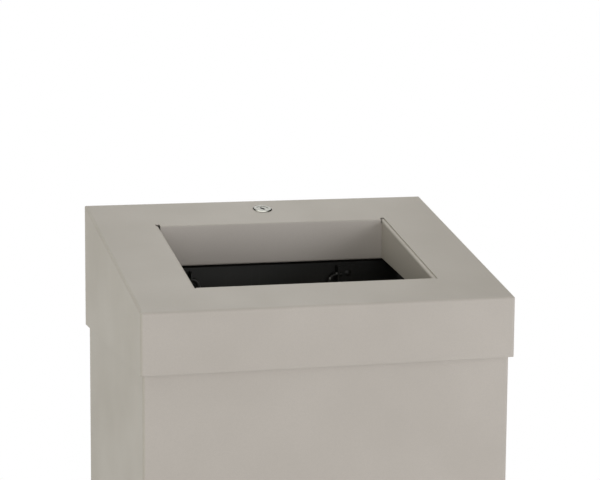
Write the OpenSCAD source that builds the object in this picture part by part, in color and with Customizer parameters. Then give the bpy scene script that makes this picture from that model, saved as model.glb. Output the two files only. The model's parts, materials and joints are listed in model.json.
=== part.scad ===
// Steel waste bin: a folded sheet body with a lift-out liner, and a lift-off wedge lid with a chute and a cam lock.
// Millimetres. The origin is on the ground under the middle of the lid. The front faces -Y and up is +Z.

/* [Overall] */
// Width of the lid, the widest part of the bin
lid_w = 400; // [340:5:560]
// Depth of the lid from front to rear
lid_d = 300; // [280:5:420]
// Height of the lid's rear top edge above the ground
bin_h = 800; // [600:10:1100]
// Thickness of the painted steel sheet
sheet_t = 1.2; // [0.8:0.1:1.6]
// Outside radius of the folds in the sheet
fold_r = 3; // [2:0.5:4]

/* [Lid] */
// Rise of the lid's plate from its front edge to its rear edge
lid_rise = 72; // [50:1:100]
// Height of the lid's front skirt
skirt_h = 64; // [45:1:120]
// Width of the hole in the lid's plate
mouth_w = 267; // [200:1:290]
// Depth of the chute between its front and rear faces
mouth_d = 170; // [120:1:175]
// Distance from the lid's front to the chute's front face
mouth_front = 58.5; // [50:0.5:62]

/* [Chute] */
// Depth of the chute's rear flange below the plate
chute_rear_h = 45.5; // [25:0.5:50]
// Depth of the chute's front flange below the plate
chute_front_h = 31; // [18:1:35]
// Outside radius of the fold along the top of each chute side
roll_r = 2.2; // [2:0.1:4]
// Width of each chute side's flat strip that shows beside the mouth's edge
ledge = 1.6; // [0.5:0.1:3]
// Width of the welded leg of each chute side under the plate
weld_leg = 16; // [10:1:20]
// Outside radius of the folds at the top and foot of the chute's flanges, and of the sides' hems
flange_r = 2; // [2:0.5:4]
// Width of the lip that is turned out under each chute wall
hem_lip = 4; // [2:0.5:6]
// Width of the relief slit at each end of the rear flange's fold
relief_w = 1.2; // [0.8:0.1:2]
// Depth of the relief slit below the fold
relief_deep = 3; // [1:0.5:4]
// Length of the rear corners' relief past the line of the fold
rear_relief = 4; // [1.5:0.5:6]
// Length of the front corners' relief past the line of the fold
front_relief = 0.8; // [0.6:0.1:3]

/* [Lid rails] */
// Width of the rail's seat, measured in from the skirt
rail_seat = 12.5; // [10:0.5:14]
// Height of the rail's welded wall
rail_h = 14; // [8:1:20]
// Distance from the lid's front to the front end of the rails
rail_front = 75; // [60:5:110]
// Distance from the lid's rear to the rear end of the rails
rail_rear = 15; // [10:1:40]

/* [Body] */
// Gap from the lid's side to the body's side, measured outside
side_step = 3.5; // [2.5:0.5:6]
// Gap from the lid's front to the body's front, measured outside
front_step = 6.5; // [5:0.5:8]
// Distance from the lid's front top edge down to the body's rim
rim_drop = 4; // [3.5:0.5:8]
// Height of the body's lower edge above the ground
body_lift = 8; // [5:1:10]
// Width of the two flanges at the body's rear corners
rear_flange = 30; // [20:1:45]

/* [Rim frame] */
// Width of the rim frame's side seats, measured in from the body's walls
rim_seat = 20; // [18:0.5:26]
// Width of the rim frame's front seat, measured in from the body's front wall
front_seat = 22; // [21:0.5:28]
// Height of the rim frame's wall
rim_h = 25; // [20:1:40]
// Thickness of the rim frame and of the floor pan
frame_t = 1.5; // [1.2:0.1:2]
// Radius of the rubber buffers on the rim
buffer_r = 3.5; // [2.5:0.5:4]
// Height of the rubber buffers above the rim
buffer_h = 2.5; // [2:0.5:4]

/* [Floor] */
// Height of the floor pan's underside, and of the feet
foot_h = 12; // [10.5:0.5:20]
// Height of the floor pan's wall
pan_h = 20; // [12:1:30]
// Radius of a foot where it meets the floor pan
foot_r = 16; // [14:0.5:20]
// Distance from the body's outside to each foot's centre
foot_inset = 34; // [28:1:60]

/* [Liner] */
// Gap between the liner's wall and the rim frame all round
liner_gap = 2; // [1:0.5:4]
// Height of the liner's floor above the ground
liner_lift = 30; // [26:1:80]
// Outside radius of the liner's upright corners
liner_r = 14; // [8:1:20]
// Width of the liner's folded rim
hook_w = 11.2; // [9:0.2:12]
// Height of the liner's rim above the middle of its fold
hook_h = 5.6; // [4.5:0.1:6]
// Outside radius of the two folds in the liner's rim
hook_fold = 2.5; // [2:0.5:4]

/* [Liner handles] */
// Distance between the centres of a handle's two legs
handle_w = 156; // [120:2:190]
// Length of a handle's legs
handle_len = 68; // [50:1:90]
// Diameter of a handle's wire
wire_d = 5; // [4:0.5:6]
// Distance from the liner's rim down to the handle's pivot
handle_drop = 14; // [12:1:24]
// Distance from the liner's wall to the handle's pivot
handle_out = 8; // [7:0.5:12]

/* [Lock] */
// Distance from the lid's rear to the lock's centre
lock_rear = 29; // [24:0.5:30]
// Radius of the lock's face
face_r = 11; // [10.5:0.5:12]
// Height of the lock's face above the plate
face_h = 1.2; // [1:0.1:2.5]
// Radius of the lock's barrel
barrel_r = 9.25; // [8.5:0.25:9.5]
// Distance across the two flats of the barrel
barrel_flats = 16; // [15:0.25:16.5]
// Length of the barrel below the plate's top face
barrel_len = 22; // [18:0.5:24]
// Radius of the turning plug
plug_r = 6; // [5:0.25:6.5]
// Length of the cam from the plug's axis to its tip
cam_len = 29; // [26:1:38]
// Width of the cam
cam_w = 14; // [12:0.5:16]
// Thickness of the cam
cam_t = 2; // [1.5:0.25:2.5]

/* [Keeper] */
// Width of the keeper strap
keeper_w = 28; // [24:1:40]
// Thickness of the keeper strap
keeper_t = 2; // [1.5:0.25:2.5]
// Distance from the lock's axis sideways to the keeper's near edge
keeper_side = 16; // [15.5:0.5:18]
// Reach of the keeper's lip forward from the strap's back, over the cam
keeper_lip = 15; // [12:0.5:15.5]

/* [Fasteners] */
// Number of rivets in each rear flange
rivet_rows = 5; // [2:1:8]
// Radius of a rivet's shank
rivet_r = 2; // [1.5:0.25:2.5]
// Radius of a rivet's head
rivet_head_r = 4; // [3.5:0.25:4.5]
// Height of a rivet's head
rivet_head_h = 1.3; // [0.8:0.1:1.5]
// Radius of a foot bolt's shank
bolt_r = 3; // [2.5:0.5:4]

/* [Hidden] */
$fn = 48;

// Clearances: loose is for parts that lift or swing, snug is for the plug and the fasteners' holes
loose = 0.3;
snug = 0.1;
// Coat of paint between two sheets that are welded together
seam = 0.05;
// Allowance that a cut runs past the face that it opens
past = 1;
// A bend stands this far proud of the flat sheet that it joins, and the sheet laps into it
proud = 0.01;
lap = 0.2;
// The legs and lips of the flanges lap this little into the ends of their bends, to stay inside them
tuck = 0.1;

// Colours
paint = [0.68, 0.65, 0.6];
black_paint = [0.08, 0.08, 0.08];
zinc = [0.75, 0.76, 0.77];
chrome = [0.85, 0.86, 0.87];
rubber = [0.1, 0.1, 0.1];

// Heights and the slope of the lid
slope = atan2(lid_rise, lid_d);
lid_front_z = bin_h - lid_rise;
skirt_z = lid_front_z - skirt_h;
rim_z = lid_front_z - rim_drop;
// Height of a face that lies a distance below the plate's top face, square to the plate
function plate_z(y, below = 0) = lid_front_z + (y + lid_d / 2) * tan(slope) - below / cos(slope);

// Chute
chute_front_y = mouth_front - lid_d / 2;
chute_rear_y = chute_front_y + mouth_d;
chute_side_x = mouth_w / 2 - ledge - roll_r;
flange_w = 2 * (chute_side_x - seam);
front_fold_y = chute_front_y - flange_r;
rear_fold_y = chute_rear_y + flange_r;
front_drop = plate_z(front_fold_y, flange_r) - plate_z(chute_front_y) + chute_front_h;
rear_drop = plate_z(rear_fold_y, flange_r) - plate_z(chute_rear_y) + chute_rear_h;
// Distance along the plate from its front edge to the line where a fold starts
function fold_line(y) = (y + lid_d / 2 - flange_r * sin(slope)) / cos(slope);
front_fold = fold_line(front_fold_y);
rear_fold = fold_line(rear_fold_y);
// Ends of the chute's sides, which reach into the corners' reliefs and stop this far short of the mouth's ends
end_gap = 1;
function fold_end_y(along) = along * cos(slope) - lid_d / 2;
side_front_y = fold_end_y(front_fold - front_relief) + end_gap;
side_rear_y = fold_end_y(rear_fold + rear_relief) - end_gap;
// Line of the sides' hems, which joins the hems of the two flanges
hem_front_z = plate_z(chute_front_y) - chute_front_h + flange_r;
hem_rear_z = plate_z(chute_rear_y) - chute_rear_h + flange_r;
hem_slope = atan2(hem_rear_z - hem_front_z, mouth_d);

// Body
body_w = lid_w - 2 * side_step;
body_d = lid_d - 2 * front_step;
wall_x = body_w / 2 - sheet_t;
front_wall_y = sheet_t - body_d / 2;
panel_y = body_d / 2 - sheet_t;
rear_wall_y = panel_y - sheet_t;
inside_r = fold_r;
body_h = rim_z - body_lift;

// Liner
liner_w = 2 * (wall_x - rim_seat - liner_gap);
liner_d = 2 * (-front_wall_y - front_seat - liner_gap);
// The rim's outer edge turns down this far past the level where its section is split
hook_edge = 0.5;
hook_z = rim_z + loose + hook_edge;
liner_top = hook_z + hook_h;
liner_in_y = liner_d / 2 - sheet_t;
hook_out = hook_w - sheet_t;

// Rails and buffers
rail_z = rim_z + buffer_h + loose;
lid_in_x = lid_w / 2 - sheet_t - seam;
rail_start = max(rail_front, (rail_z + rail_h + sheet_t / cos(slope) + past - lid_front_z) / tan(slope)) - lid_d / 2;
rail_end = lid_d / 2 - rail_rear;
hook_x = liner_w / 2 + hook_out;
buffer_x = (max(hook_x, lid_in_x - rail_seat) + wall_x) / 2;
buffer_inset = 15;
buffer_neck_r = buffer_r / 2;
buffer_bulb_r = buffer_neck_r + 1;
buffer_tip_r = 1.2;
buffer_bulb_h = 4;

// Floor
foot_x = body_w / 2 - foot_inset;
foot_y = body_d / 2 - foot_inset;
foot_toe = 2;
recess_r = 8;
recess_h = 7;
bolt_head_r = 6;
bolt_head_h = 3.5;
nut_h = 5;
nut_flat = 10;
nut_flange_r = 7;
nut_flange_h = 1;

// Liner handles
pivot_z = liner_top - handle_drop;
pivot_y = liner_in_y - handle_out;
wire_r = wire_d / 2;
elbow_r = 7;
crook_r = 14;
lug_t = 1.5;
lug_gap = 1;
lug_x = handle_w / 2 + elbow_r + lug_gap;
lug_w = 24;
lug_h = 18;
lug_lip = 5;
lug_reach = handle_out + lug_lip;
lug_eye_r = wire_r + loose;
lug_rivet_x = lug_x + 15.5;
pin_past = 4;
pin_end = lug_x + lug_t + pin_past;

// Lock
lock_y = lid_d / 2 - lock_rear;
cam_top = barrel_len + loose;
// Gap between the turned cam and the keeper's lip above it
lip_gap = 1.6;
lip_low = cam_top - lip_gap;
lip_top = lip_low - keeper_t;
washer_t = 1;
washer_low = sheet_t + seam + washer_t;
nut_t = 5;
lock_nut_r = 13.5;
tail = 7;
cam_boss = 2;
bezel_in = 1.4;
plug_sunk = 0.4;
shoulder_r = plug_r + 0.7;
shoulder_h = 1.2;
key_w = 2.2;
key_len = 8;
key_deep = 9;
key_turn = -65;
screw_r = 2;
screw_head_r = 4;
screw_head_h = 2.2;
screw_slot = 1;
screw_washer_r = tail / 2 + 2;
screw_washer_h = 0.8;

// Keeper
keeper_bend = 3;
keeper_r = keeper_t + keeper_bend;
keeper_out = panel_y + keeper_t;
keeper_edge = 1;
keeper_low = rim_z - rim_h + keeper_edge;
keeper_rivet_z = rim_z - rim_h / 2;
keeper_rivet_pitch = 14;
keeper_x = keeper_side + keeper_w / 2;

// Rivets in the rear flanges, and the closed ends of all rivets
rivet_x = body_w / 2 - rear_flange / 2;
rivet_foot = 50;
rivet_head_room = 40;
rivet_low = body_lift + rivet_foot;
rivet_pitch = (skirt_z - rivet_head_room - rivet_low) / (rivet_rows - 1);
rivet_tail_r = 3;
rivet_tail_h = 2.2;

// Outline of a rectangle with round corners
module plan(w, d, r) {
  square([w - 2 * r, d], center = true);
  square([w, d - 2 * r], center = true);
  for (sx = [-1, 1], sy = [-1, 1])
    translate([sx * (w / 2 - r), sy * (d / 2 - r)]) circle(r);
}

// Upright ring of sheet on that outline
module ring(w, d, r, t, h) {
  linear_extrude(h)
    difference() {
      plan(w, d, r);
      plan(w - 2 * t, d - 2 * t, r - t);
    }
}

// Outline through points, each corner rounded by its own radius
module rounded(points, radii) {
  n = len(points);
  function unit(v) = v / norm(v);
  function back(i) = unit(points[(i + n - 1) % n] - points[i]);
  function ahead(i) = unit(points[(i + 1) % n] - points[i]);
  function half(i) = acos(back(i) * ahead(i)) / 2;
  function centre(i) = points[i] + unit(back(i) + ahead(i)) * radii[i] / sin(half(i));
  function run(i) = radii[i] / tan(half(i));
  polygon([
    for (i = [0 : n - 1])
      each radii[i] == 0 ? [points[i]] : [points[i] + back(i) * run(i), centre(i), points[i] + ahead(i) * run(i)]
  ]);
  for (i = [0 : n - 1])
    if (radii[i] > 0)
      translate(centre(i)) circle(radii[i]);
}

// Turns an outline drawn in depth and height into a prism across the bin
module across(w) {
  rotate([90, 0, 90])
    linear_extrude(w, center = true) children();
}

// Places a part on the plate's top face, with its own Z square to the plate
module on_plate(y) {
  translate([0, y, plate_z(y)])
    rotate([slope, 0, 0]) children();
}

// Fold in a sheet about an axis across the bin
module fold(y, z, r, t, start, sweep, w) {
  translate([0, y, z])
    rotate([90, 0, 90])
      rotate([0, 0, start])
        rotate_extrude(angle = sweep)
          translate([r - t, -w / 2]) square([t, w]);
}

// Low round head, standing on Z = 0
module dome(r, h) {
  ball = (r * r + h * h) / (2 * h);
  rotate_extrude()
    intersection() {
      translate([0, h - ball]) circle(ball);
      square([r, h]);
    }
}

// Set rivet along Z: its head above Z = 0 and its closed end below the grip
module rivet(grip) {
  dome(rivet_head_r, rivet_head_h);
  translate([0, 0, -grip])
    cylinder(r = rivet_r, h = grip);
  translate([0, 0, -grip])
    mirror([0, 0, 1]) dome(rivet_tail_r, rivet_tail_h);
}

module rear_rivet_places() {
  for (sx = [-1, 1], i = [0 : rivet_rows - 1])
    translate([sx * rivet_x, body_d / 2, rivet_low + i * rivet_pitch])
      rotate([-90, 0, 0]) children();
}

module keeper_rivet_places() {
  for (s = [-1, 1])
    translate([keeper_x + s * keeper_rivet_pitch / 2, keeper_out, keeper_rivet_z])
      rotate([-90, 0, 0]) children();
}

module foot_places() {
  for (sx = [-1, 1], sy = [-1, 1])
    translate([sx * foot_x, sy * foot_y, 0]) children();
}

module buffer_places() {
  for (sx = [-1, 1], y = [rail_start + buffer_inset, rail_end - 2 * buffer_inset])
    translate([sx * buffer_x, y, rim_z]) children();
}

// Front, both sides and the two rear flanges, folded from one sheet
module body_shell() {
  color(paint)
    difference() {
      translate([0, 0, body_lift]) ring(body_w, body_d, fold_r, sheet_t, body_h);
      translate([rear_flange - body_w / 2, body_d / 4, body_lift - past])
        cube([body_w - 2 * rear_flange, body_d, body_h + 2 * past]);
      rear_rivet_places()
        translate([0, 0, -sheet_t - past]) cylinder(r = rivet_r, h = sheet_t + 2 * past);
    }
}

// Flat sheet inside the two rear flanges
module rear_panel() {
  color(paint)
    difference() {
      translate([fold_r - body_w / 2, rear_wall_y, body_lift])
        cube([body_w - 2 * fold_r, sheet_t, body_h]);
      rear_rivet_places()
        translate([0, 0, -2 * sheet_t - past]) cylinder(r = rivet_r, h = 2 * sheet_t + 2 * past);
      keeper_rivet_places()
        translate([0, 0, -keeper_t - sheet_t - past]) cylinder(r = rivet_r, h = keeper_t + sheet_t + 2 * past);
    }
}

module panel_rivets() {
  color(zinc)
    rear_rivet_places() rivet(2 * sheet_t);
}

// Outline of the space inside the body's walls
module inside(edge) {
  translate([0, (front_wall_y + rear_wall_y) / 2])
    plan(2 * wall_x - 2 * edge, rear_wall_y - front_wall_y - 2 * edge, inside_r - edge / 2);
}

// Angle frame welded inside the body's mouth: it carries the liner and the lid
module rim_frame() {
  color(paint)
    difference() {
      translate([0, 0, rim_z - rim_h])
        linear_extrude(rim_h) inside(0);
      translate([0, 0, rim_z - rim_h - past])
        linear_extrude(rim_h + past - frame_t) inside(frame_t);
      translate([0, 0, rim_z - rim_h])
        linear_extrude(rim_h + past)
          plan(liner_w + 2 * liner_gap, liner_d + 2 * liner_gap, liner_r);
      buffer_places()
        translate([0, 0, -frame_t - past]) cylinder(r = buffer_neck_r, h = frame_t + 2 * past);
      keeper_rivet_places()
        translate([0, 0, -keeper_t - sheet_t - frame_t - past])
          cylinder(r = rivet_r, h = keeper_t + sheet_t + frame_t + 2 * past);
    }
}

// Rubber buffers pushed into the rim frame under the lid's rails
module rim_buffers() {
  color(rubber)
    buffer_places() {
      dome(buffer_r, buffer_h);
      translate([0, 0, -frame_t]) cylinder(r = buffer_neck_r, h = frame_t);
      translate([0, 0, -frame_t])
        mirror([0, 0, 1]) cylinder(r1 = buffer_bulb_r, r2 = buffer_tip_r, h = buffer_bulb_h);
    }
}

// Shallow tray welded inside the foot of the body
module floor_pan() {
  color(paint)
    difference() {
      translate([0, 0, foot_h])
        linear_extrude(pan_h) inside(0);
      translate([0, 0, foot_h + frame_t])
        linear_extrude(pan_h) inside(frame_t);
      foot_places()
        translate([0, 0, foot_h - past]) cylinder(r = bolt_r, h = frame_t + 2 * past);
    }
}

// Tapered rubber feet, each with a recess for its bolt's head
module feet() {
  color(rubber)
    foot_places()
      difference() {
        cylinder(r1 = foot_r - foot_toe, r2 = foot_r, h = foot_h);
        translate([0, 0, -past]) cylinder(r = recess_r, h = recess_h + past);
        cylinder(r = bolt_r, h = foot_h + past);
      }
}

module foot_bolts() {
  color(zinc)
    foot_places() {
      translate([0, 0, recess_h - bolt_head_h])
        difference() {
          cylinder(r = bolt_head_r, h = bolt_head_h);
          translate([0, 0, -past]) cylinder(r = bolt_head_r / 2, h = past + bolt_head_h / 2, $fn = 6);
        }
      translate([0, 0, recess_h])
        cylinder(r = bolt_r, h = foot_h - recess_h + frame_t + nut_h + past);
    }
}

// Flanged nuts on top of the floor pan
module foot_nuts() {
  color(zinc)
    foot_places()
      translate([0, 0, foot_h + frame_t])
        difference() {
          union() {
            cylinder(r = nut_flange_r, h = nut_flange_h);
            cylinder(r = nut_flat / 2 / cos(30), h = nut_h, $fn = 6);
          }
          translate([0, 0, -past]) cylinder(r = bolt_r, h = nut_h + 2 * past);
        }
}

// Strap riveted to the rear panel, with a lip that reaches over the cam
module lock_keeper() {
  lip_y = keeper_out - keeper_lip;
  color(zinc)
    difference() {
      translate([keeper_x, 0, 0])
        across(keeper_w)
          difference() {
            rounded(
              [
                [lip_y, keeper_low],
                [keeper_out, keeper_low],
                [keeper_out, plate_z(keeper_out, lip_top)],
                [lip_y, plate_z(lip_y, lip_top)]
              ],
              [0, 0, keeper_r, 0]);
            rounded(
              [
                [lip_y - past, keeper_low - past],
                [panel_y, keeper_low - past],
                [panel_y, plate_z(panel_y, lip_low)],
                [lip_y - past, plate_z(lip_y - past, lip_low)]
              ],
              [0, 0, keeper_r - keeper_t, 0]);
          }
      keeper_rivet_places()
        translate([0, 0, -keeper_t - past]) cylinder(r = rivet_r, h = keeper_t + 2 * past);
    }
}

module keeper_rivets() {
  color(zinc)
    keeper_rivet_places() rivet(keeper_t + sheet_t + frame_t);
}

// Folded rim that hangs over the rim frame: out and down, swept round the liner
module hook_section() {
  difference() {
    plan(hook_w, 2 * hook_h, hook_fold);
    plan(hook_w - 2 * sheet_t, 2 * hook_h - 2 * sheet_t, hook_fold - sheet_t);
    translate([-hook_w / 2 - past, -hook_h - past]) square([hook_w + 2 * past, hook_h + past]);
  }
  translate([hook_w / 2 - sheet_t, -hook_edge]) square([sheet_t, hook_edge]);
}

// Sweeps an outline round a rectangle with round corners; the outline's X points outwards
module sweep_round(w, d, r) {
  for (a = [0, 180])
    rotate(a) {
      translate([w / 2, 0, 0])
        rotate([90, 0, 0]) linear_extrude(d - 2 * r, center = true) children();
      translate([0, d / 2, 0])
        rotate([90, 0, 90]) linear_extrude(w - 2 * r, center = true) children();
      translate([w / 2 - r, d / 2 - r, 0])
        rotate_extrude(angle = 90) translate([r, 0]) children();
      translate([w / 2 - r, r - d / 2, 0])
        rotate([0, 0, -90]) rotate_extrude(angle = 90) translate([r, 0]) children();
    }
}

// Black inner tub
module liner() {
  color(black_paint)
    difference() {
      union() {
        translate([0, 0, liner_lift]) ring(liner_w, liner_d, liner_r, sheet_t, hook_z - liner_lift);
        translate([0, 0, liner_lift])
          linear_extrude(sheet_t) plan(liner_w, liner_d, liner_r);
        translate([0, 0, hook_z])
          sweep_round(liner_w + hook_out - sheet_t, liner_d + hook_out - sheet_t, liner_r + hook_w / 2 - sheet_t)
            hook_section();
      }
      lug_rivet_places()
        translate([0, 0, -lug_t - sheet_t - past]) cylinder(r = rivet_r, h = lug_t + sheet_t + 2 * past);
    }
}

// Mirrors a part made for the right rear onto all four handle ends
module handle_ends() {
  for (mx = [0, 1], my = [0, 1])
    mirror([mx, 0, 0]) mirror([0, my, 0]) children();
}

module lug_rivet_places() {
  handle_ends()
    translate([lug_rivet_x, liner_in_y - lug_t, pivot_z])
      rotate([90, 0, 0]) children();
}

// Folded lugs with an eye for the handle's pin
module handle_lugs() {
  color(black_paint)
    difference() {
      handle_ends() {
        translate([lug_x, liner_in_y - lug_t, pivot_z - lug_h / 2]) cube([lug_w, lug_t, lug_h]);
        translate([lug_x, liner_in_y - lug_reach, pivot_z - lug_h / 2])
          cube([lug_t, lug_reach, lug_h]);
      }
      handle_ends()
        translate([lug_x - past, pivot_y, pivot_z])
          rotate([0, 90, 0]) cylinder(r = lug_eye_r, h = lug_t + 2 * past);
      lug_rivet_places()
        translate([0, 0, -lug_t - past]) cylinder(r = rivet_r, h = lug_t + 2 * past);
    }
}

module lug_rivets() {
  color(black_paint)
    lug_rivet_places() rivet(lug_t + sheet_t);
}

// Quarter bend of round wire in the upright plane of a handle
module wire_bend(x, z, r, start) {
  translate([x, 0, z])
    rotate([90, 0, 0])
      rotate([0, 0, start])
        rotate_extrude(angle = 90) translate([r, 0]) circle(wire_r);
}

// Bail of round wire, hanging from its two pins
module handle(y) {
  leg_x = handle_w / 2;
  low_z = pivot_z - handle_len;
  color(black_paint)
    translate([0, y, 0]) {
      for (mx = [0, 1])
        mirror([mx, 0, 0]) {
          translate([leg_x + elbow_r, 0, pivot_z])
            rotate([0, 90, 0]) cylinder(r = wire_r, h = pin_end - leg_x - elbow_r);
          wire_bend(leg_x + elbow_r, pivot_z - elbow_r, elbow_r, 90);
          translate([leg_x, 0, low_z + crook_r])
            cylinder(r = wire_r, h = handle_len - crook_r - elbow_r);
          wire_bend(leg_x - crook_r, low_z + crook_r, crook_r, -90);
        }
      translate([crook_r - leg_x, 0, low_z])
        rotate([0, 90, 0]) cylinder(r = wire_r, h = handle_w - 2 * crook_r);
    }
}

module liner_handle_front() {
  handle(-pivot_y);
}

module liner_handle_rear() {
  handle(pivot_y);
}

// Solid wedge of the lid's outside, or of its inside when it is set in by the sheet
module lid_form(inset, low_z) {
  r = fold_r - inset;
  half_w = lid_w / 2 - inset;
  half_d = lid_d / 2 - inset;
  deep = skirt_h + lid_rise + fold_r;
  intersection() {
    across(lid_w)
      rounded(
        [[-half_d, low_z], [half_d, low_z], [half_d, plate_z(half_d, inset)], [-half_d, plate_z(-half_d, inset)]],
        [0, 0, r, r]);
    translate([0, 0, low_z])
      linear_extrude(bin_h - low_z) plan(2 * half_w, 2 * half_d, r);
    on_plate(0)
      rotate([90, 0, 0])
        linear_extrude(2 * lid_d, center = true)
          rounded(
            [[-half_w, -2 * deep], [half_w, -2 * deep], [half_w, proud - inset], [-half_w, proud - inset]],
            [0, 0, r, r]);
  }
}

// Flange folded down from the plate: placed at the line of its fold, it hangs upright and ends in a hem.
// The front flange has the chute behind it, at +Y. The rear one has it in front, and a slit at each end of its fold
module flange(front, drop) {
  thick = sheet_t + 2 * proud;
  leg_h = drop - flange_r;
  slit = front ? 0 : relief_w;
  bend_w = flange_w - 2 * slit;
  translate([0, 0, -flange_r]) {
    fold(0, 0, flange_r + proud, thick, front ? -slope : 90, front ? 90 + slope : 90 - slope, bend_w);
    rotate([-slope, 0, 0]) {
      translate([0, front ? flange_r : sheet_t - flange_r, -leg_h])
        rotate([90, 0, 0])
          linear_extrude(sheet_t) {
            translate([-flange_w / 2, -tuck]) square([flange_w, leg_h - relief_deep + tuck]);
            translate([-bend_w / 2, 0]) square([bend_w, leg_h + tuck]);
          }
      translate([0, 0, -leg_h]) {
        fold(0, 0, flange_r + proud, thick, front ? -90 : 180, 90, flange_w);
        translate([-flange_w / 2, front ? -hem_lip : -tuck, -flange_r]) cube([flange_w, hem_lip + tuck, sheet_t]);
      }
    }
  }
}

// Lid plate and four skirts, with the chute's front and rear flanges folded down from the plate
module lid_shell() {
  cut_h = sheet_t + 2 * past;
  front_cut = (mouth_w - flange_w) / 2 + proud;
  rear_cut = front_cut + relief_w;
  middle = (rear_fold - front_fold) / 2;
  color(paint)
    union() {
      difference() {
        lid_form(0, skirt_z);
        lid_form(sheet_t, skirt_z - past);
        on_plate(-lid_d / 2)
          translate([-mouth_w / 2, front_fold, -sheet_t - past]) {
            translate([0, lap, 0]) cube([mouth_w, rear_fold - front_fold - 2 * lap, cut_h]);
            for (x = [0, mouth_w - front_cut])
              translate([x, -front_relief, 0]) cube([front_cut, middle + front_relief, cut_h]);
            for (x = [0, mouth_w - rear_cut])
              translate([x, middle, 0]) cube([rear_cut, middle + rear_relief, cut_h]);
          }
        on_plate(lock_y)
          translate([0, 0, -sheet_t - past]) barrel_outline(snug, cut_h);
      }
      on_plate(-lid_d / 2) {
        translate([0, front_fold, 0])
          flange(true, front_drop);
        translate([0, rear_fold, 0])
          flange(false, rear_drop);
      }
    }
}

// Right side of the chute: an angle, its leg welded under the plate and its foot hemmed
module chute_side() {
  reach = lid_d;
  wall_h = roll_r + lid_rise + chute_rear_h;
  thick = sheet_t + 2 * proud;
  color(paint)
    intersection() {
      union() {
        difference() {
          on_plate(0) {
            translate([chute_side_x + roll_r, -reach, -seam - 2 * sheet_t])
              cube([ledge + weld_leg, 2 * reach, sheet_t]);
            translate([chute_side_x + roll_r, 0, -seam - sheet_t - roll_r])
              rotate([90, 0, 0])
                rotate([0, 0, 90])
                  translate([0, 0, -reach])
                    rotate_extrude(angle = 90) translate([roll_r - sheet_t, 0]) square([sheet_t, 2 * reach]);
            translate([chute_side_x, -reach, -seam - sheet_t - roll_r - wall_h])
              cube([sheet_t, 2 * reach, wall_h]);
          }
          translate([0, chute_front_y, hem_front_z])
            rotate([hem_slope, 0, 0])
              translate([0, -reach, -reach - lap]) cube([lid_w, 3 * reach, reach]);
        }
        translate([chute_side_x + flange_r, chute_front_y, hem_front_z])
          rotate([hem_slope, 0, 0]) {
            rotate([90, 0, 0])
              rotate([0, 0, 180])
                translate([0, 0, -reach])
                  rotate_extrude(angle = 90) translate([flange_r - sheet_t - proud, 0]) square([thick, 2 * reach]);
            translate([0, -reach, -flange_r - proud]) cube([hem_lip, 2 * reach, thick]);
          }
      }
      translate([0, side_front_y, skirt_z])
        cube([lid_w, side_rear_y - side_front_y, bin_h - skirt_z]);
    }
}

module chute_side_left() {
  mirror([1, 0, 0]) chute_side();
}

module chute_side_right() {
  chute_side();
}

// Right rail: an angle welded inside the skirt, whose seat rests on the rim's buffers
module lid_rail() {
  color(paint)
    translate([lid_in_x - rail_seat, rail_start, rail_z]) {
      cube([rail_seat, rail_end - rail_start, sheet_t]);
      translate([rail_seat - sheet_t, 0, 0]) cube([sheet_t, rail_end - rail_start, rail_h]);
    }
}

module lid_rail_left() {
  mirror([1, 0, 0]) lid_rail();
}

module lid_rail_right() {
  lid_rail();
}

// Barrel with two flats, widened by a clearance and standing on Z = 0
module barrel_outline(gap, h) {
  flat = barrel_flats + 2 * gap;
  intersection() {
    cylinder(r = barrel_r + gap, h = h);
    translate([-flat / 2, -barrel_r - past, 0]) cube([flat, 2 * barrel_r + 2 * past, h]);
  }
}

// Lock body: bevelled face above the plate, barrel below it, and a bore for the plug
module lock_housing() {
  color(chrome)
    on_plate(lock_y)
      difference() {
        union() {
          translate([0, 0, -barrel_len]) barrel_outline(0, barrel_len + face_h / 2);
          translate([0, 0, seam]) cylinder(r = face_r, h = face_h / 2 - seam);
          translate([0, 0, face_h / 2]) cylinder(r1 = face_r, r2 = face_r - bezel_in, h = face_h / 2);
        }
        translate([0, 0, -barrel_len - past]) cylinder(r = plug_r + snug, h = barrel_len + face_h + 2 * past);
        translate([0, 0, face_h - shoulder_h - snug]) cylinder(r = shoulder_r + snug, h = shoulder_h + past);
      }
}

module lock_washer() {
  color(zinc)
    on_plate(lock_y)
      translate([0, 0, -washer_low])
        difference() {
          cylinder(r = lock_nut_r, h = washer_t);
          translate([0, 0, -past]) cylinder(r = barrel_r + snug, h = washer_t + 2 * past);
        }
}

module lock_nut() {
  color(zinc)
    on_plate(lock_y)
      translate([0, 0, -washer_low - nut_t])
        difference() {
          cylinder(r = lock_nut_r, h = nut_t, $fn = 6);
          translate([0, 0, -past]) cylinder(r = barrel_r + snug, h = nut_t + 2 * past);
        }
}

// Plug that the key turns, with a square tail for the cam
module lock_plug() {
  color(chrome)
    on_plate(lock_y)
      difference() {
        union() {
          translate([0, 0, face_h - shoulder_h]) cylinder(r = shoulder_r, h = shoulder_h - plug_sunk);
          translate([0, 0, -cam_top]) cylinder(r = plug_r, h = cam_top + face_h - plug_sunk);
          translate([-tail / 2, -tail / 2, -cam_top - cam_t]) cube([tail, tail, cam_t + past]);
        }
        rotate([0, 0, key_turn])
          translate([-key_len / 2, -key_w / 2, face_h - key_deep]) cube([key_len, key_w, key_deep]);
        translate([0, 0, -cam_top - cam_t - past]) cylinder(r = screw_r, h = key_deep);
      }
}

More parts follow.
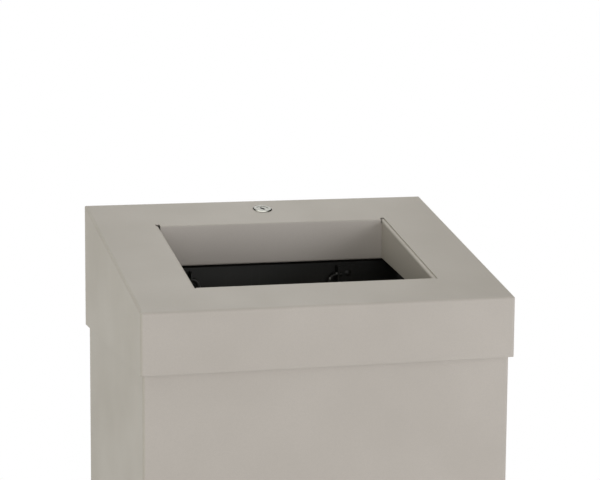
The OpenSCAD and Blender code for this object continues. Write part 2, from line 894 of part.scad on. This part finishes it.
// Cam, drawn unlocked: it points to the front and turns a quarter towards +X to lock
module lock_cam() {
  color(zinc)
    on_plate(lock_y)
      translate([0, 0, -cam_top - cam_t])
        difference() {
          union() {
            cylinder(r = cam_w / 2 + cam_boss, h = cam_t);
            translate([-cam_w / 2, cam_w / 2 - cam_len, 0]) cube([cam_w, cam_len - cam_w / 2, cam_t]);
            translate([0, cam_w / 2 - cam_len, 0]) cylinder(r = cam_w / 2, h = cam_t);
          }
          translate([-tail / 2, -tail / 2, -past]) cube([tail, tail, cam_t + 2 * past]);
        }
}

module cam_screw() {
  color(zinc)
    on_plate(lock_y)
      translate([0, 0, -cam_top - cam_t]) {
        cylinder(r = screw_r, h = cam_t + past);
        mirror([0, 0, 1])
          difference() {
            union() {
              cylinder(r = screw_washer_r, h = screw_washer_h);
              cylinder(r = screw_head_r, h = screw_washer_h + screw_head_h);
            }
            translate([-screw_head_r - past, -screw_slot / 2, screw_head_h])
              cube([2 * screw_head_r + 2 * past, screw_slot, screw_washer_h + past]);
          }
      }
}

body_shell();
rear_panel();
panel_rivets();
rim_frame();
rim_buffers();
floor_pan();
feet();
foot_bolts();
foot_nuts();
lock_keeper();
keeper_rivets();
liner();
handle_lugs();
lug_rivets();
liner_handle_front();
liner_handle_rear();
lid_shell();
chute_side_left();
chute_side_right();
lid_rail_left();
lid_rail_right();
lock_housing();
lock_washer();
lock_nut();
lock_plug();
lock_cam();
cam_screw();
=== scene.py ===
import json
import math

import bmesh
import bpy
from mathutils import Matrix, Vector


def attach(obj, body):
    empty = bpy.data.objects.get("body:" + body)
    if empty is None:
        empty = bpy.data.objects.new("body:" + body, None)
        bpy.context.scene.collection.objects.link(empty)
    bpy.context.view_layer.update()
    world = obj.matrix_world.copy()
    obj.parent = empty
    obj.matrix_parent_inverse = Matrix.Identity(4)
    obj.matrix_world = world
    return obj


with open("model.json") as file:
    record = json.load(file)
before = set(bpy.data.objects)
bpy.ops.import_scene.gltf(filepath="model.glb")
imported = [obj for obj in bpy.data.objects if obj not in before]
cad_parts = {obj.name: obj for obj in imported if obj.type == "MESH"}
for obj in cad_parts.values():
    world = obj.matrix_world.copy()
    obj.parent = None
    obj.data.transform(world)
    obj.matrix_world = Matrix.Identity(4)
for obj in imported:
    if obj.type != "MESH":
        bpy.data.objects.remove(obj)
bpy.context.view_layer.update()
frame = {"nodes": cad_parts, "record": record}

# Steel waste bin: finishes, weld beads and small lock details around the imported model.
# Sizes are in millimetres and become metres through MM. The front faces -Y and up is +Z.
MM = 0.001

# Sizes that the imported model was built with
LID_D = 300.0
LID_RISE = 72.0
LID_FRONT_Z = 728.0
SKIRT_Z = 664.0
LOCK_Y = 121.0
SLOPE = math.atan2(LID_RISE, LID_D)
KEY_TURN = math.radians(-65)


def plate_point(x, y, below=0.0):
    """Place under the lid's sloping plate: y is measured level, below is square to the plate."""
    z = LID_FRONT_Z + (y + LID_D / 2) * math.tan(SLOPE)
    return Vector((x, y + below * math.sin(SLOPE), z - below * math.cos(SLOPE))) * MM


# The lock's middle in the plate, and the move that puts a piece made round the origin's Z axis there
LOCK_CENTRE = plate_point(0, LOCK_Y)
TO_LOCK = Matrix.Translation(LOCK_CENTRE) @ Matrix.Rotation(SLOPE, 4, "X")


# Finishes

# Most of a noise pattern lies between these two values
NOISE_RANGE = {"From Min": 0.3, "From Max": 0.7}
# The Mix node's sockets repeat their names, so those for colours go by number
FACTOR, FIRST, SECOND, MIXED = 0, 6, 7, 2


def linear(code):
    """An sRGB hex colour as the linear colour that shaders take."""
    parts = [int(code[i:i + 2], 16) / 255 for i in (0, 2, 4)]
    return tuple(c / 12.92 if c <= 0.04045 else ((c + 0.055) / 1.055) ** 2.4 for c in parts) + (1.0,)


def add(tree, kind, inputs, **settings):
    """Adds a node with its settings. An input takes a value, an output, or a node for its first output."""
    node = tree.nodes.new(kind)
    for name, value in settings.items():
        setattr(node, name, value)
    for socket, value in inputs.items():
        if isinstance(value, bpy.types.Node):
            value = value.outputs[0]
        if isinstance(value, bpy.types.NodeSocket):
            tree.links.new(value, node.inputs[socket])
        else:
            node.inputs[socket].default_value = value
    return node


def start_material(name):
    """An empty material with its node tree, and the coordinates that its patterns follow."""
    material = bpy.data.materials.new(name)
    material.use_nodes = True
    tree = material.node_tree
    tree.nodes.clear()
    place = add(tree, "ShaderNodeTexCoord", {}).outputs["Object"]
    return material, tree, place


def powder_coat():
    """Polyester powder coat, baked satin: an even film with shallow orange peel and a fine grit."""
    material, tree, place = start_material("satin_powder_coat_silk_grey")
    # The film is a little thicker and darker in patches about a hand wide
    patches = add(tree, "ShaderNodeTexNoise", {"Vector": place, "Scale": 1 / (90 * MM)})
    tone = add(tree, "ShaderNodeMapRange", {"Value": patches, **NOISE_RANGE})
    film = add(tree, "ShaderNodeMix", {FACTOR: tone, FIRST: linear("B2ACA1"), SECOND: linear("ADA79C")},
               data_type="RGBA").outputs[MIXED]
    # The grit is drawn 0.9 mm wide, coarser than it is, so that it shows
    grit = add(tree, "ShaderNodeTexNoise", {"Vector": place, "Scale": 1 / (0.9 * MM), "Detail": 1.0})
    flecks = add(tree, "ShaderNodeMapRange",
                 {"Value": grit, "From Min": 0.35, "From Max": 0.75, "To Max": 0.35})
    colour = add(tree, "ShaderNodeMix", {FACTOR: flecks, FIRST: film, SECOND: linear("A49E93")},
                 data_type="RGBA").outputs[MIXED]
    # Orange peel is 3 mm wide and some hundredths of a millimetre deep
    peel = add(tree, "ShaderNodeTexNoise", {"Vector": place, "Scale": 1 / (3 * MM), "Detail": 1.0})
    waves = add(tree, "ShaderNodeBump", {"Height": peel, "Distance": 0.035 * MM})
    grain = add(tree, "ShaderNodeBump", {"Height": grit, "Distance": 0.012 * MM, "Normal": waves})
    gloss = add(tree, "ShaderNodeMapRange", {"Value": patches, **NOISE_RANGE, "To Min": 0.44, "To Max": 0.52})
    coat = add(tree, "ShaderNodeBsdfPrincipled",
               {"Base Color": colour, "Roughness": gloss, "IOR": 1.5, "Normal": grain})
    add(tree, "ShaderNodeOutputMaterial", {"Surface": coat})
    return material


def black_enamel(name, glint_places=()):
    """Air-dried black enamel: satin, with a film of dust, rub marks from bags, and painted highlights at
    given places: light grey spots drawn as chips.
    """
    material, tree, place = start_material(name)
    film = add(tree, "ShaderNodeTexNoise",
               {"Vector": place, "Scale": 1 / (60 * MM), "Detail": 4.0, "Roughness": 0.6})
    dust = add(tree, "ShaderNodeMapRange", {"Value": film, **NOISE_RANGE})
    dusty = add(tree, "ShaderNodeMix", {FACTOR: dust, FIRST: linear("23241D"), SECOND: linear("2C2B25")},
                data_type="RGBA").outputs[MIXED]
    # Rub marks run up and down the wall, 3 mm wide and about 90 mm long
    upright = add(tree, "ShaderNodeMapping", {"Vector": place, "Scale": (1.0, 1.0, 3 / 90)})
    rubs = add(tree, "ShaderNodeTexNoise",
               {"Vector": upright, "Scale": 1 / (3 * MM), "Detail": 3.0, "Roughness": 0.6})
    rubbed = add(tree, "ShaderNodeMapRange",
                 {"Value": rubs, "From Min": 0.55, "From Max": 0.8, "To Max": 0.5})
    colour = add(tree, "ShaderNodeMix", {FACTOR: rubbed, FIRST: dusty, SECOND: linear("3E3E37")},
                 data_type="RGBA").outputs[MIXED]
    # A painted highlight is a light grey spot about 3 mm across, drawn as a chip down to the primer, and 1.2
    # mm noise makes its edge ragged
    for glint_place in glint_places:
        ragged = add(tree, "ShaderNodeTexNoise", {"Vector": place, "Scale": 1 / (1.2 * MM)})
        away = add(tree, "ShaderNodeVectorMath", {0: place, 1: glint_place}, operation="DISTANCE").outputs["Value"]
        edge = add(tree, "ShaderNodeMath", {0: ragged, 1: 1.0 * MM, 2: away}, operation="MULTIPLY_ADD")
        glint_mask = add(tree, "ShaderNodeMapRange",
                    {"Value": edge, "From Min": 1.7 * MM, "From Max": 2.1 * MM, "To Min": 1.0, "To Max": 0.0})
        colour = add(tree, "ShaderNodeMix", {FACTOR: glint_mask, FIRST: colour, SECOND: linear("A3A29C")},
                     data_type="RGBA").outputs[MIXED]
    brushed = add(tree, "ShaderNodeTexNoise", {"Vector": place, "Scale": 1 / (1.6 * MM)})
    grain = add(tree, "ShaderNodeBump", {"Height": brushed, "Distance": 0.02 * MM})
    gloss = add(tree, "ShaderNodeMapRange", {"Value": film, **NOISE_RANGE, "To Min": 0.42, "To Max": 0.56})
    enamel = add(tree, "ShaderNodeBsdfPrincipled",
                 {"Base Color": colour, "Roughness": gloss, "IOR": 1.5, "Normal": grain})
    add(tree, "ShaderNodeOutputMaterial", {"Surface": enamel})
    return material


def zinc_plate():
    """Bright zinc with a clear blue passivate on pressed steel: a hazy metal shine with faint marks."""
    material, tree, place = start_material("bright_zinc_plate")
    haze = add(tree, "ShaderNodeTexNoise", {"Vector": place, "Scale": 1 / (12 * MM), "Detail": 3.0})
    tone = add(tree, "ShaderNodeMapRange", {"Value": haze, **NOISE_RANGE})
    colour = add(tree, "ShaderNodeMix", {FACTOR: tone, FIRST: linear("BDC0C3"), SECOND: linear("A9A9A6")},
                 data_type="RGBA").outputs[MIXED]
    # Scratches from handling, 0.5 mm wide and some 10 mm long
    drawn = add(tree, "ShaderNodeMapping", {"Vector": place, "Scale": (0.5 / 10, 1.0, 1.0)})
    scratches = add(tree, "ShaderNodeTexNoise", {"Vector": drawn, "Scale": 1 / (0.5 * MM)})
    marks = add(tree, "ShaderNodeBump", {"Height": scratches, "Distance": 0.004 * MM})
    gloss = add(tree, "ShaderNodeMapRange", {"Value": haze, **NOISE_RANGE, "To Min": 0.24, "To Max": 0.4})
    zinc = add(tree, "ShaderNodeBsdfPrincipled",
               {"Base Color": colour, "Metallic": 1.0, "Roughness": gloss, "Normal": marks})
    add(tree, "ShaderNodeOutputMaterial", {"Surface": zinc})
    return material


def nickel_chrome():
    """Polished nickel-chrome on the lock's zinc casting: near a mirror, with turning rings and painted shade
    round the plug and the key slot.
    """
    material, tree, place = start_material("polished_nickel_chrome")
    # Patterns on the lock have its middle as their origin and its axis as their Z
    on_lock = add(tree, "ShaderNodeMapping",
                  {"Vector": place, "Location": LOCK_CENTRE, "Rotation": (SLOPE, 0.0, 0.0)},
                  vector_type="TEXTURE")
    # The node makes 20 radians of wave to a unit, so that a scale of 100 leaves 3.1 mm from ring to ring
    rings = add(tree, "ShaderNodeTexWave", {"Vector": on_lock, "Scale": 100.0, "Distortion": 0.4},
                wave_type="RINGS", rings_direction="Z").outputs["Fac"]
    smear = add(tree, "ShaderNodeTexNoise", {"Vector": place, "Scale": 1 / (5 * MM)})
    tone = add(tree, "ShaderNodeMapRange", {"Value": smear, **NOISE_RANGE})
    plating = add(tree, "ShaderNodeMix", {FACTOR: tone, FIRST: linear("A9A9A2"), SECOND: linear("9B9B94")},
                  data_type="RGBA").outputs[MIXED]
    # Painted shade darkens the gap round the plug, 6.8 mm from the axis and 0.36 mm wide
    flat = add(tree, "ShaderNodeVectorMath", {0: on_lock, 1: (1.0, 1.0, 0.0)}, operation="MULTIPLY")
    radius = add(tree, "ShaderNodeVectorMath", {0: flat}, operation="LENGTH").outputs["Value"]
    gap = add(tree, "ShaderNodeMath", {0: radius, 1: 6.8 * MM, 2: 0.18 * MM}, operation="COMPARE")
    # Painted shade darkens the plug round the key slot: an oval of 7 by 4.4 mm along it
    half_oval = (3.5 * MM, 2.2 * MM, 1.0)
    along_slot = add(tree, "ShaderNodeMapping",
                     {"Vector": on_lock, "Rotation": (0.0, 0.0, KEY_TURN), "Scale": half_oval},
                     vector_type="TEXTURE")
    from_slot = add(tree, "ShaderNodeVectorMath", {0: along_slot}, operation="LENGTH").outputs["Value"]
    slot_shade = add(tree, "ShaderNodeMapRange",
                    {"Value": from_slot, "From Min": 0.85, "From Max": 1.1, "To Min": 1.0, "To Max": 0.0})
    # Both marks of painted shade darken the plating, and also make it rougher
    painted_shade = add(tree, "ShaderNodeMath", {0: gap, 1: 0.35, 2: slot_shade},
                operation="MULTIPLY_ADD", use_clamp=True)
    colour = add(tree, "ShaderNodeMix", {FACTOR: painted_shade, FIRST: plating, SECOND: linear("3E3C37")},
                 data_type="RGBA").outputs[MIXED]
    polish = add(tree, "ShaderNodeMapRange", {"Value": smear, **NOISE_RANGE, "To Min": 0.14, "To Max": 0.24})
    gloss = add(tree, "ShaderNodeMath", {0: painted_shade, 1: 0.4, 2: polish}, operation="MULTIPLY_ADD")
    turning = add(tree, "ShaderNodeBump", {"Height": rings, "Distance": 0.003 * MM})
    chrome = add(tree, "ShaderNodeBsdfPrincipled",
                 {"Base Color": colour, "Metallic": 1.0, "Roughness": gloss, "Normal": turning})
    add(tree, "ShaderNodeOutputMaterial", {"Surface": chrome})
    return material


def moulded_rubber():
    """Black moulded rubber: matt, with the fine grain of its mould and pale bloom."""
    material, tree, place = start_material("moulded_black_rubber")
    bloom = add(tree, "ShaderNodeTexNoise",
                {"Vector": place, "Scale": 1 / (9 * MM), "Detail": 4.0, "Roughness": 0.6})
    tone = add(tree, "ShaderNodeMapRange", {"Value": bloom, **NOISE_RANGE})
    colour = add(tree, "ShaderNodeMix", {FACTOR: tone, FIRST: linear("1B1B1C"), SECOND: linear("2B2A28")},
                 data_type="RGBA").outputs[MIXED]
    mould = add(tree, "ShaderNodeTexNoise", {"Vector": place, "Scale": 1 / (0.7 * MM), "Detail": 1.0})
    grain = add(tree, "ShaderNodeBump", {"Height": mould, "Distance": 0.02 * MM})
    gloss = add(tree, "ShaderNodeMapRange", {"Value": bloom, **NOISE_RANGE, "To Min": 0.7, "To Max": 0.88})
    rubber = add(tree, "ShaderNodeBsdfPrincipled",
                 {"Base Color": colour, "Roughness": gloss, "IOR": 1.52, "Normal": grain})
    add(tree, "ShaderNodeOutputMaterial", {"Surface": rubber})
    return material


FINISHES = {
    "grey_powder_coat": powder_coat(),
    "black_paint": black_enamel("satin_black_enamel"),
    "zinc": zinc_plate(),
    "chrome": nickel_chrome(),
    "rubber": moulded_rubber(),
}
for part in frame["record"]["subparts"]:
    for held in frame["nodes"][part["node"]].material_slots:
        held.material = FINISHES[part["material_slot"]]
# Painted highlights at both ends of the rear handle's right elbow, where glints fall: light grey spots drawn
# as chips in the enamel
GLINT_PLACES = [Vector(point) * MM for point in ((77.0, 106.8, 712.3), (85.5, 107.0, 718.2))]
frame["nodes"]["liner_handle_rear"].material_slots[0].material = black_enamel("black_enamel_with_painted_glints", GLINT_PLACES)


# New pieces

# A weld bead's rings come in pairs of crest and dip, a ripple long. Their widths are shares of its radius
RIPPLE = 2.4
END_WIDTH, CREST_WIDTH, DIP_WIDTH = 0.4, 1.0, 0.82
STITCH_RADIUS = 2.0
STITCH_LENGTH = 18.0


def object_from(name, bm, material):
    """Makes an object in the scene from its bmesh."""
    mesh = bpy.data.meshes.new(name)
    bm.to_mesh(mesh)
    bm.free()
    mesh.materials.append(material)
    obj = bpy.data.objects.new(name, mesh)
    bpy.context.scene.collection.objects.link(obj)
    return obj


def piece(name, bm, body, slot):
    """Makes a piece from its bmesh. It rides on a body and takes the finish of a slot."""
    bmesh.ops.recalc_face_normals(bm, faces=bm.faces)
    # An extrusion lists its faces in another order each run, so they are sorted by their corners
    bm.verts.index_update()
    corners = {face: [vert.index for vert in face.verts] for face in bm.faces}
    bm.faces.sort(key=lambda face: min(corners[face]) * len(bm.verts) + max(corners[face]))
    obj = object_from(name, bm, FINISHES[slot])
    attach(obj, body)


def bead(bm, start, end, radius):
    """One weld bead: rings pulled out from start to end, each second one drawn in, with closed ends."""
    run = end - start
    pairs = max(2, round(run.length / (RIPPLE * MM)))
    widths = [END_WIDTH] + [CREST_WIDTH, DIP_WIDTH] * pairs
    widths[-1] = END_WIDTH
    step = run / (2 * pairs)
    turn = Matrix.Translation(start) @ run.to_track_quat("Z", "Y").to_matrix().to_4x4()
    circle = bmesh.ops.create_circle(bm, cap_ends=True, segments=8, radius=radius * MM * END_WIDTH,
                                     matrix=turn)
    face = circle["verts"][0].link_faces[0]
    for i in range(1, len(widths)):
        made = bmesh.ops.extrude_face_region(bm, geom=[face])["geom"]
        # The first cap stays to close the start
        if i > 1:
            bmesh.ops.delete(bm, geom=[face], context="FACES_ONLY")
        face = next(g for g in made if isinstance(g, bmesh.types.BMFace))
        middle = start + step * i
        grow = widths[i] / widths[i - 1]
        bmesh.ops.translate(bm, vec=step, verts=face.verts)
        bmesh.ops.scale(bm, vec=(grow, grow, grow), space=Matrix.Translation(-middle), verts=face.verts)
        for side in {f for e in face.edges for f in e.link_faces}:
            side.smooth = True


def stitches(bm, start, end, count):
    """Evenly spaced beads along a line."""
    run = end - start
    half = run.normalized() * STITCH_LENGTH * MM / 2
    for i in range(count):
        middle = start + run * (i + 0.5) / count
        bead(bm, middle - half, middle + half, STITCH_RADIUS)


def lid_welds():
    """Stitches that hold the chute's sides and the rails, and the seams inside the skirts' corners."""
    bm = bmesh.new()
    # Along the outer edges of the chute sides' welded legs, under the plate
    leg_x, leg_below, leg_ends_y = 149.8, 2.4, (-88.0, 72.0)
    # Along the rails' upper edges, against the skirts
    rail_x, rail_z, rail_ends_y = 197.7, 741.4, (-30.0, 130.0)
    # Up the skirts' corners, from just above their lower edge to the plate
    corner_x, corner_y, seam_radius = 197.9, 147.9, 1.6
    seam_foot_z, front_seam_z, rear_seam_z = SKIRT_Z + 2, 722.0, 792.0
    for side in (-1, 1):
        leg = [plate_point(side * leg_x, y, leg_below) for y in leg_ends_y]
        rail = [Vector((side * rail_x, y, rail_z)) * MM for y in rail_ends_y]
        stitches(bm, *leg, count=3)
        stitches(bm, *rail, count=3)
        for y, seam_top_z in ((-corner_y, front_seam_z), (corner_y, rear_seam_z)):
            foot = Vector((side * corner_x, y, seam_foot_z)) * MM
            bead(bm, foot, Vector((foot.x, foot.y, seam_top_z * MM)), seam_radius)
    piece("lid_weld_beads", bm, "lid", "grey_powder_coat")


def body_welds():
    """Stitches under the rim frame and above the floor pan, against the body's walls."""
    bm = bmesh.new()
    side_x, side_ends_y = 194.1, (-120.0, 120.0)
    front_y, front_ends_x = -141.1, (-170.0, 170.0)
    rim_z, pan_z = 698.6, 32.4
    for z in (rim_z, pan_z):
        for side in (-1, 1):
            wall = [Vector((side * side_x, y, z)) * MM for y in side_ends_y]
            stitches(bm, *wall, count=4)
        front = [Vector((x, front_y, z)) * MM for x in front_ends_x]
        stitches(bm, *front, count=5)
    piece("body_weld_beads", bm, "base", "grey_powder_coat")


def barrel_thread():
    """The lock barrel's thread below its nut: a ridge spun down the barrel and cut by the two flats."""
    bm = bmesh.new()
    barrel_r, ridge_r, half_width = 9.1, 9.33, 0.45
    pitch, turns, steps = 1.0, 11, 24
    flat_x, start_z = 8.0, -9.2
    profile = ((barrel_r, -half_width), (ridge_r, 0.0), (barrel_r, half_width))
    section = bm.faces.new([bm.verts.new((x * MM, 0, z * MM)) for x, z in profile])
    bmesh.ops.spin(bm, geom=[section] + section.verts[:] + section.edges[:], cent=(0, 0, 0), axis=(0, 0, 1),
                   dvec=(0, 0, -pitch * MM / steps), angle=2 * math.pi * turns, steps=steps * turns,
                   use_merge=False)
    bmesh.ops.holes_fill(bm, edges=[e for e in bm.edges if e.is_boundary], sides=3)
    for side in (-1, 1):
        cut = bmesh.ops.bisect_plane(bm, geom=bm.verts[:] + bm.edges[:] + bm.faces[:], clear_outer=True,
                                     plane_co=(side * flat_x * MM, 0, 0), plane_no=(side, 0, 0))
        edges = [g for g in cut["geom_cut"] if isinstance(g, bmesh.types.BMEdge)]
        bmesh.ops.holes_fill(bm, edges=edges, sides=8)
    bmesh.ops.transform(bm, matrix=TO_LOCK @ Matrix.Translation((0, 0, start_z * MM)), verts=bm.verts)
    piece("lock_barrel_thread", bm, "lid", "chrome")


def key_slot_seal_and_shade():
    """Black rubber lips that keep dust out of the key slot, just below the plug's face. Their black also
    stands in for the shade inside the slot.
    """
    bm = bmesh.new()
    length, width, depth, rounding, middle_z = 7.8, 2.0, 1.0, 0.2, 0.1
    bmesh.ops.create_cube(bm, size=1.0)
    bmesh.ops.scale(bm, vec=(length * MM, width * MM, depth * MM), verts=bm.verts)
    bmesh.ops.bevel(bm, geom=bm.edges[:], offset=rounding * MM, offset_type="OFFSET", affect="EDGES",
                    segments=2, profile=0.5, material=-1)
    in_slot = TO_LOCK @ Matrix.Rotation(KEY_TURN, 4, "Z") @ Matrix.Translation((0, 0, middle_z * MM))
    bmesh.ops.transform(bm, matrix=in_slot, verts=bm.verts)
    piece("key_slot_seal_and_shade", bm, "lock_cylinder", "rubber")


lid_welds()
body_welds()
barrel_thread()
key_slot_seal_and_shade()


# Studio, in metres

FLOOR_RADIUS = 12.0
# The floor is paper near the bin and fades into the surround between these distances from its middle
FADE_START, FADE_END = 0.7, 1.6
SURROUND_LIGHT = 0.3
# The lamps look at this point on the bin
LIT_POINT = Vector((0.0, 0.0, 0.6))
# The black cards are nearer to the lock than any lamp that they hide
FLAG_REACH = 2.5


def rays_that_see(tree):
    """1 for rays from the camera, from mirrors and through glass, and 0 for those that gather light."""
    path = add(tree, "ShaderNodeLightPath", {}).outputs
    seen = add(tree, "ShaderNodeMath", {0: path["Is Camera Ray"], 1: path["Is Glossy Ray"]},
               operation="MAXIMUM")
    return add(tree, "ShaderNodeMath", {0: seen, 1: path["Is Transmission Ray"]}, operation="MAXIMUM")


def studio_floor():
    """Pale round floor that fades into the white surround away from the bin."""
    bm = bmesh.new()
    bmesh.ops.create_circle(bm, cap_ends=True, segments=96, radius=FLOOR_RADIUS)
    material, tree, place = start_material("pale_studio_floor")
    reach = add(tree, "ShaderNodeVectorMath", {0: place}, operation="LENGTH").outputs["Value"]
    fade = add(tree, "ShaderNodeMapRange", {"Value": reach, "From Min": FADE_START, "From Max": FADE_END})
    share = add(tree, "ShaderNodeMath", {0: rays_that_see(tree), 1: fade}, operation="MULTIPLY")
    paper = add(tree, "ShaderNodeBsdfDiffuse", {"Color": linear("EDECEA")})
    white = add(tree, "ShaderNodeEmission", {"Color": linear("FFFFFF"), "Strength": 1.0})
    both = add(tree, "ShaderNodeMixShader", {0: share, 1: paper, 2: white})
    add(tree, "ShaderNodeOutputMaterial", {"Surface": both})
    object_from("studio_floor", bm, material)


def surround():
    """Even surround: white where it is seen or mirrored, softer as a light."""
    world = bpy.data.worlds.new("studio")
    bpy.context.scene.world = world
    world.use_nodes = True
    tree = world.node_tree
    tree.nodes.clear()
    soft = add(tree, "ShaderNodeBackground", {"Color": linear("FFFFFF"), "Strength": SURROUND_LIGHT})
    white = add(tree, "ShaderNodeBackground", {"Color": linear("FFFFFF"), "Strength": 1.0})
    both = add(tree, "ShaderNodeMixShader", {0: rays_that_see(tree), 1: soft, 2: white})
    add(tree, "ShaderNodeOutputWorld", {"Surface": both})


def softbox(name, place, size, watts, tint):
    """Square soft lamp, faintly tinted, that looks at the bin."""
    lamp = bpy.data.lights.new(name, "AREA")
    lamp.size = size
    lamp.energy = watts
    lamp.color = linear(tint)[:3]
    obj = bpy.data.objects.new(name, lamp)
    obj.location = place
    obj.rotation_euler = (LIT_POINT - Vector(place)).to_track_quat("-Z", "Y").to_euler()
    bpy.context.scene.collection.objects.link(obj)


def flag(name, start, end, width):
    """Black card between two directions from the lock. It shows in reflections alone, as dark edges."""
    start, end = (LOCK_CENTRE + FLAG_REACH * Vector(way).normalized() for way in (start, end))
    middle = (start + end) / 2
    along = (end - start).normalized()
    across = along.cross(LOCK_CENTRE - middle).normalized()
    turn = Matrix((across, along, across.cross(along))).transposed().to_4x4()
    bm = bmesh.new()
    bmesh.ops.create_grid(bm, x_segments=1, y_segments=1, size=0.5)
    bmesh.ops.scale(bm, vec=(width, (end - start).length, 1.0), verts=bm.verts)
    bmesh.ops.transform(bm, matrix=Matrix.Translation(middle) @ turn, verts=bm.verts)
    material, tree, _ = start_material("matt_black_card")
    card = add(tree, "ShaderNodeBsdfDiffuse", {"Color": linear("0A0A0A")})
    add(tree, "ShaderNodeOutputMaterial", {"Surface": card})
    obj = object_from(name, bm, material)
    obj.visible_camera = obj.visible_diffuse = obj.visible_transmission = obj.visible_shadow = False


def studio_camera():
    """Long lens from the front left, a little above the lid."""
    lens = bpy.data.cameras.new("camera")
    lens.sensor_width = 36.0
    lens.lens = 120.44
    obj = bpy.data.objects.new("camera", lens)
    right = Vector((0.95846167, -0.28513281, 0.00710705))
    up = Vector((0.03287097, 0.13517737, 0.99027601))
    back = Vector((-0.2833209, -0.94890798, 0.13893491))
    stand = Matrix.Translation((-0.6088, -2.0688, 1.0766))
    obj.matrix_world = stand @ Matrix((right, up, back)).transposed().to_4x4()
    bpy.context.scene.collection.objects.link(obj)
    bpy.context.scene.camera = obj


studio_floor()
surround()
softbox("key", (2.2, -2.4, 0.8), size=1.6, watts=41.5, tint="F8F7FF")
softbox("front", (-0.6, -3.2, 0.6), size=1.6, watts=30.7, tint="F8F7FF")
softbox("left", (-2.8, -0.4, 1.0), size=1.4, watts=18.5, tint="FFFFF4")
softbox("overhead", (0.28, 1.4, 3.7), size=3.4, watts=50.0, tint="FFFEFB")
flag("left_flag", start=(0.045, 0.912, 0.406), end=(-0.15, 0.41, 0.904), width=0.42)
flag("right_flag", start=(0.51, 0.80, 0.30), end=(0.41, 0.16, 0.90), width=0.55)
studio_camera()
bpy.context.scene.view_settings.view_transform = "Standard"
